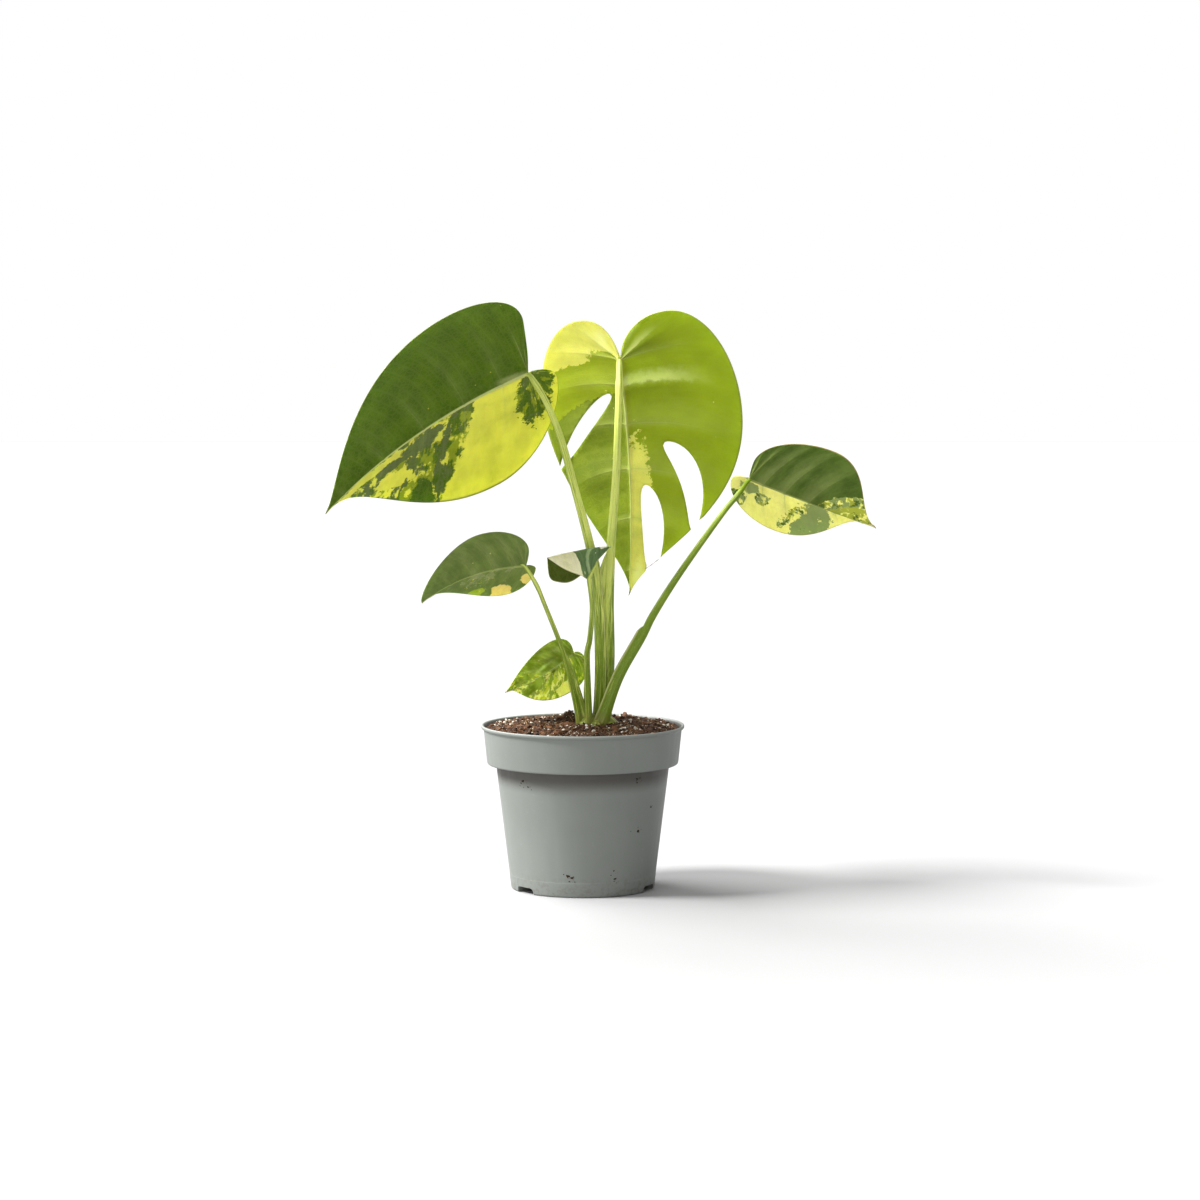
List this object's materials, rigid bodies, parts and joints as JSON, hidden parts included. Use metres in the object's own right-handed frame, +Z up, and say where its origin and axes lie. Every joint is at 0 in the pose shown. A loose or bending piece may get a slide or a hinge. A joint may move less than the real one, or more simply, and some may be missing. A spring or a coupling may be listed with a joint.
{
  "type": "potted monstera",
  "caption": "Young variegated monstera with heart-shaped leaves, one of them slotted, on long stalks in a round grey nursery pot of dark bark soil.",
  "frame": {"origin": "centre of the pot's flat underside, where it rests on the floor", "axes": "+Z up the pot, -Y towards the front, which shows the undersides of most blades, +X to the right seen from the front"},
  "size_m": [0.3186, 0.1582, 0.3463],
  "materials": {
    "pot_plastic": "grey moulded polypropylene with a soft sheen",
    "soil": "damp dark bark and coir with pale grains",
    "stalk": "smooth green leaf stalk with a soft sheen",
    "crown": "dull green-brown plant stem",
    "dark_leaf": "green leaf with yellow variegation, matt underside and waxy upper face",
    "light_leaf": "light green leaf with yellow variegation, matt underside and waxy upper face"
  },
  "bodies": {
    "root": {"pot": "pot_plastic", "soil": "soil", "crown": "crown", "leaf1_blade": "dark_leaf", "leaf1_stalk": "stalk", "leaf2_blade": "light_leaf", "leaf2_stalk": "stalk", "leaf3_blade": "dark_leaf", "leaf3_stalk": "stalk", "leaf4_blade": "dark_leaf", "leaf4_stalk": "stalk", "leaf5_blade": "light_leaf", "leaf5_stalk": "stalk", "leaf6_blade": "dark_leaf", "leaf6_stalk": "stalk"}
  },
  "joints": []
}
